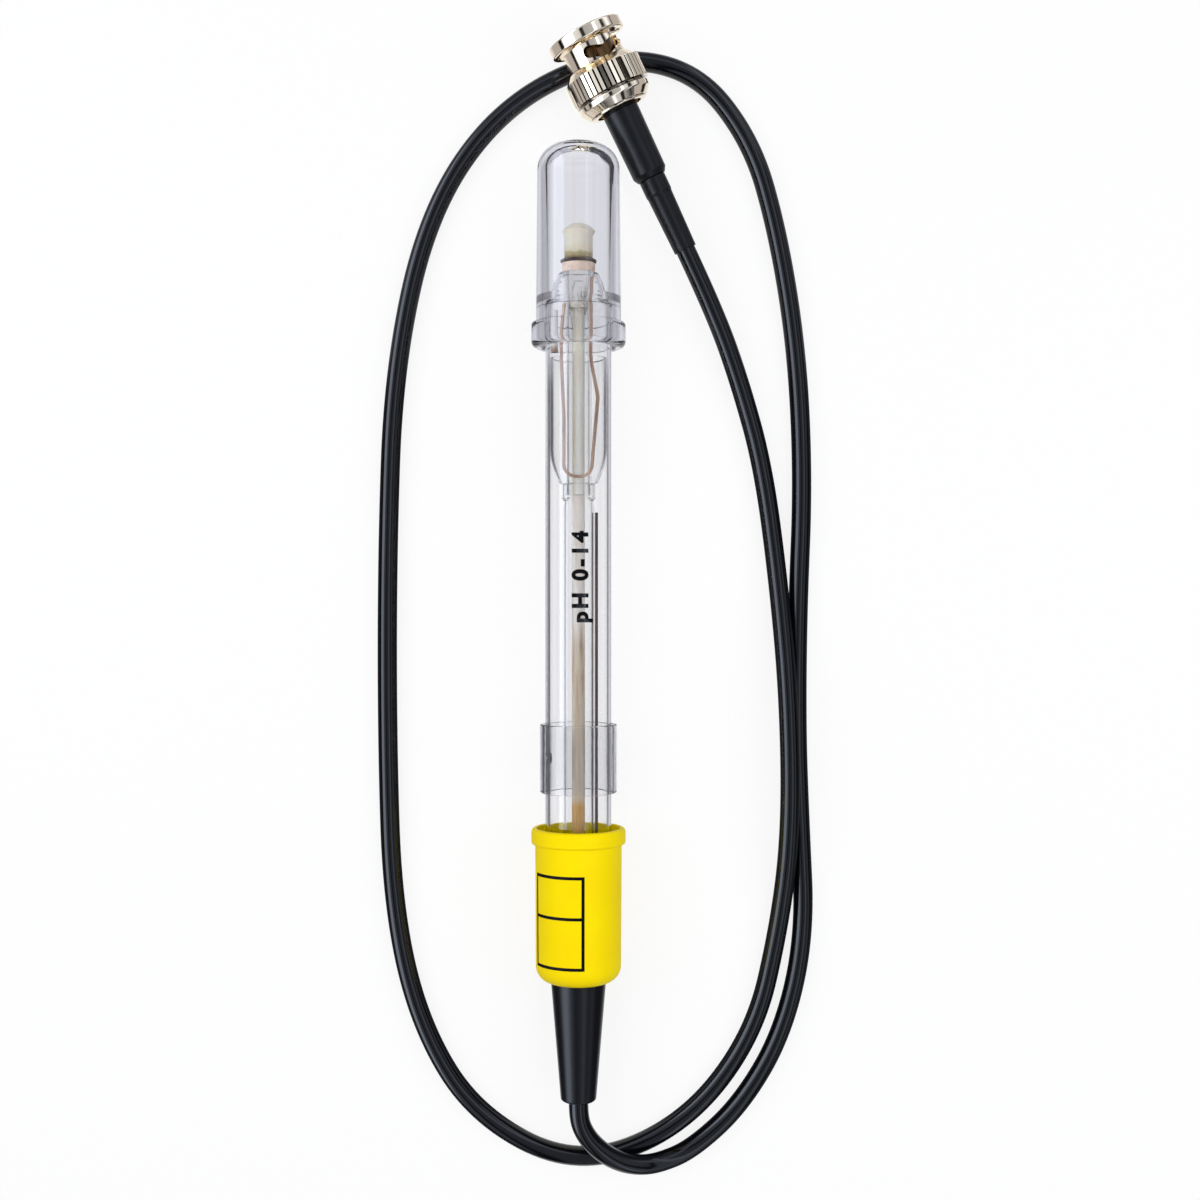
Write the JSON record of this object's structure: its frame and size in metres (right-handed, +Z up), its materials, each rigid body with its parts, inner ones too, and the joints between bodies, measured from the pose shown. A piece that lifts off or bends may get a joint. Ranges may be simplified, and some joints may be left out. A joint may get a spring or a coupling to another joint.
{
  "type": "ph electrode",
  "caption": "Slim glass pH electrode with a clear storage cap, a refill sleeve, a yellow head, and a thin black lead ending in a bayonet plug.",
  "frame": {"origin": "on the bench under the middle of the electrode, from the strain relief's tail to the cap's top, without the free lead and its plug", "axes": "+Y along the electrode toward its bulb and cap, +Z up from the bench, +X to the right of the electrode seen from above"},
  "size_m": [0.081, 0.2109, 0.0179],
  "materials": {
    "clear_cap": "clear moulded plastic",
    "clear_glass": "clear glass",
    "bulb_glass": "translucent glass with filling behind it",
    "ring_ceramic": "matt",
    "brown_seal": "matt",
    "cream_rod": "matt",
    "fibre": "fibrous",
    "dark_wire": "dull wire",
    "sheath": "stained translucent",
    "copper_wire": "dull wire",
    "wick": "porous",
    "yellow_head": "satin moulded",
    "potting": "cured resin",
    "black_relief": "satin moulded",
    "black_cable": "gloss",
    "clear_band": "milky clear band",
    "nickel": "warm bright nickel",
    "contact_nickel": "bright nickel",
    "insulator": "matt",
    "gilt": "bright",
    "gasket": "matt",
    "ferrule": "dark in the shade of the nut",
    "shrink_sleeve": "satin shrunk sleeve"
  },
  "bodies": {
    "cap_and_lead": {"storage_cap": "clear_cap", "cable_loop": "black_cable", "plug_cable": "black_cable", "boot_front": "shrink_sleeve", "boot_rear": "shrink_sleeve", "crimp_ferrule": "ferrule", "plug_body": "contact_nickel", "outer_contact": "contact_nickel", "plug_insulator": "insulator", "centre_pin": "gilt", "plug_gasket": "gasket", "spring_washer": "contact_nickel"},
    "coupling_nut": {"coupling_nut": "nickel"},
    "electrode": {"outer_glass": "clear_glass", "ph_bulb": "bulb_glass", "collar_ring": "ring_ceramic", "seal_lip": "brown_seal", "stem_tube": "clear_glass", "reference_chamber": "clear_glass", "measuring_rod": "cream_rod", "fibre_plug": "fibre", "core_wire": "dark_wire", "core_sheath": "sheath", "reference_wire": "copper_wire", "side_lead": "dark_wire", "junction_wick": "wick", "head_cap": "yellow_head", "potting": "potting", "strain_relief": "black_relief", "cable_tail": "black_cable", "cable_start": "black_cable"},
    "refill_sleeve": {"refill_sleeve": "clear_band"}
  },
  "joints": [
    {"name": "cap_draw", "type": "slide", "parent": "cap_and_lead", "child": "electrode", "axis": [0, -1, 0], "range_m": [0, 0.025]},
    {"name": "nut_turn", "type": "hinge", "parent": "cap_and_lead", "child": "coupling_nut", "pos_m": [0.00096, 0.1061, 0.01102], "axis": [-0.4379, 0.8907, 0.1219], "continuous": true},
    {"name": "refill_slide", "type": "slide", "parent": "electrode", "child": "refill_sleeve", "axis": [0, 1, 0], "range_m": [-0.006, 0.068]}
  ]
}
